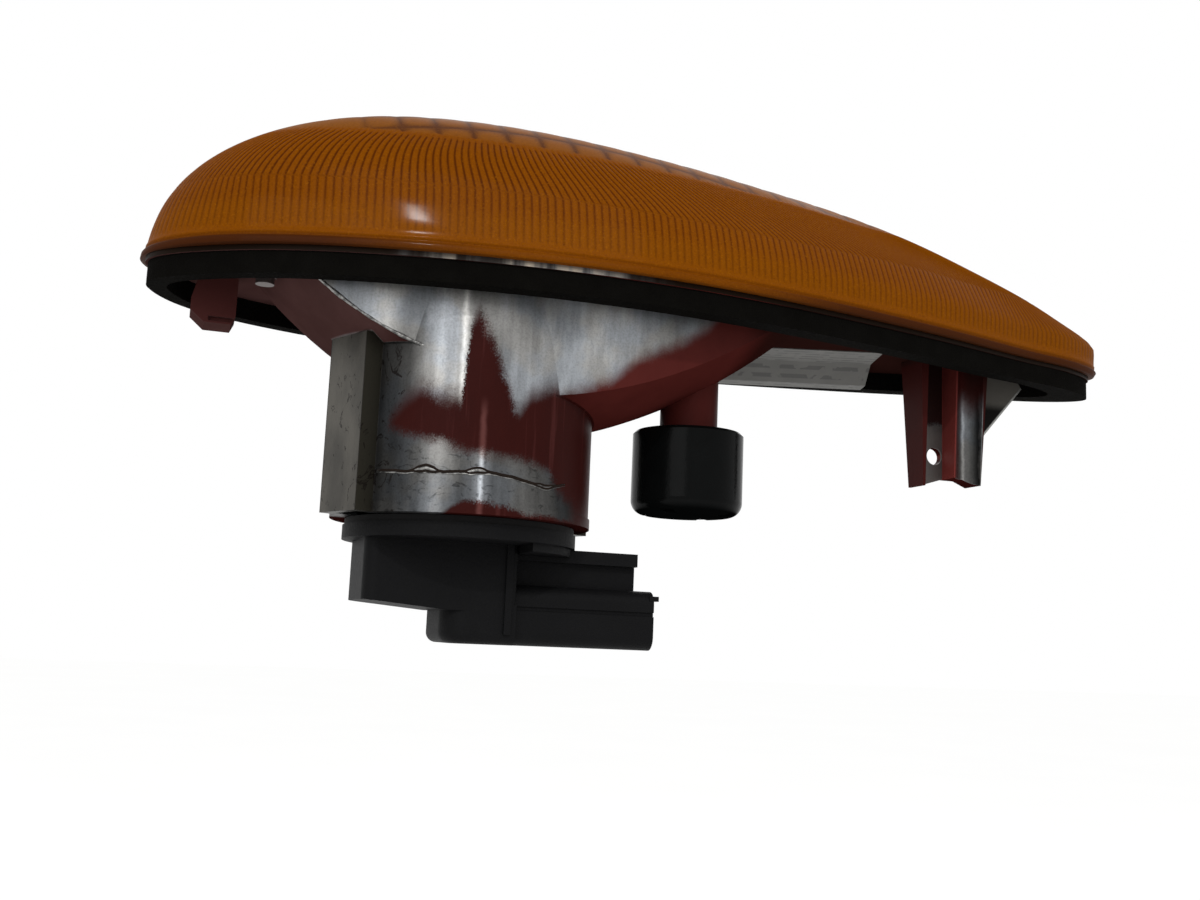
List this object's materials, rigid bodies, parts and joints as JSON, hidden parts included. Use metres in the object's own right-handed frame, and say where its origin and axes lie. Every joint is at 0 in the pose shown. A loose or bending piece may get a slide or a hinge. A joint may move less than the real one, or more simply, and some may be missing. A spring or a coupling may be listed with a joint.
{
  "type": "side repeater lamp",
  "caption": "Teardrop amber indicator lamp for a car's wing, with a reflector housing, foam gasket, vent cap and a twist-lock bulb holder with a plug socket behind it.",
  "frame": {"origin": "where the bulb tube's axis meets the body panel, on the plane of the gasket's rear face", "axes": "+Z out of the panel through the lens, +X along the lamp from its blunt nose to its tapered tail, -Y towards the side with the screw tower's open channel"},
  "size_m": [0.1775, 0.0566, 0.0852],
  "materials": {
    "amber_lens": "polished",
    "red_housing": "polished",
    "foam": "matte",
    "black_cap": "polished",
    "white_label": "matte",
    "black_holder": "grained",
    "seal_rubber": "matte",
    "terminal_brass": "tinned",
    "cap_brass": "polished",
    "cap_glass": "polished",
    "solder": "satin",
    "clear_glass": "polished",
    "wire_steel": "satin"
  },
  "bodies": {
    "lamp": {"housing": "red_housing", "lens": "amber_lens", "gasket": "foam", "breather_cap": "black_cap", "label": "white_label"},
    "holder": {"bulb_holder": "black_holder", "holder_seal": "seal_rubber", "live_terminal": "terminal_brass", "earth_terminal": "terminal_brass", "bulb_cap": "cap_brass", "bulb_pins": "cap_brass", "bulb_insulator": "cap_glass", "bulb_contact": "solder", "bulb_glass": "clear_glass", "bulb_stem": "clear_glass", "bulb_lead_wires": "wire_steel", "bulb_filament": "wire_steel"}
  },
  "joints": [
    {"name": "bulb_holder_twist", "type": "hinge", "parent": "lamp", "child": "holder", "pos_m": [0, 0, 0], "axis": [0, 0, -1], "range_deg": [0, 35]}
  ]
}
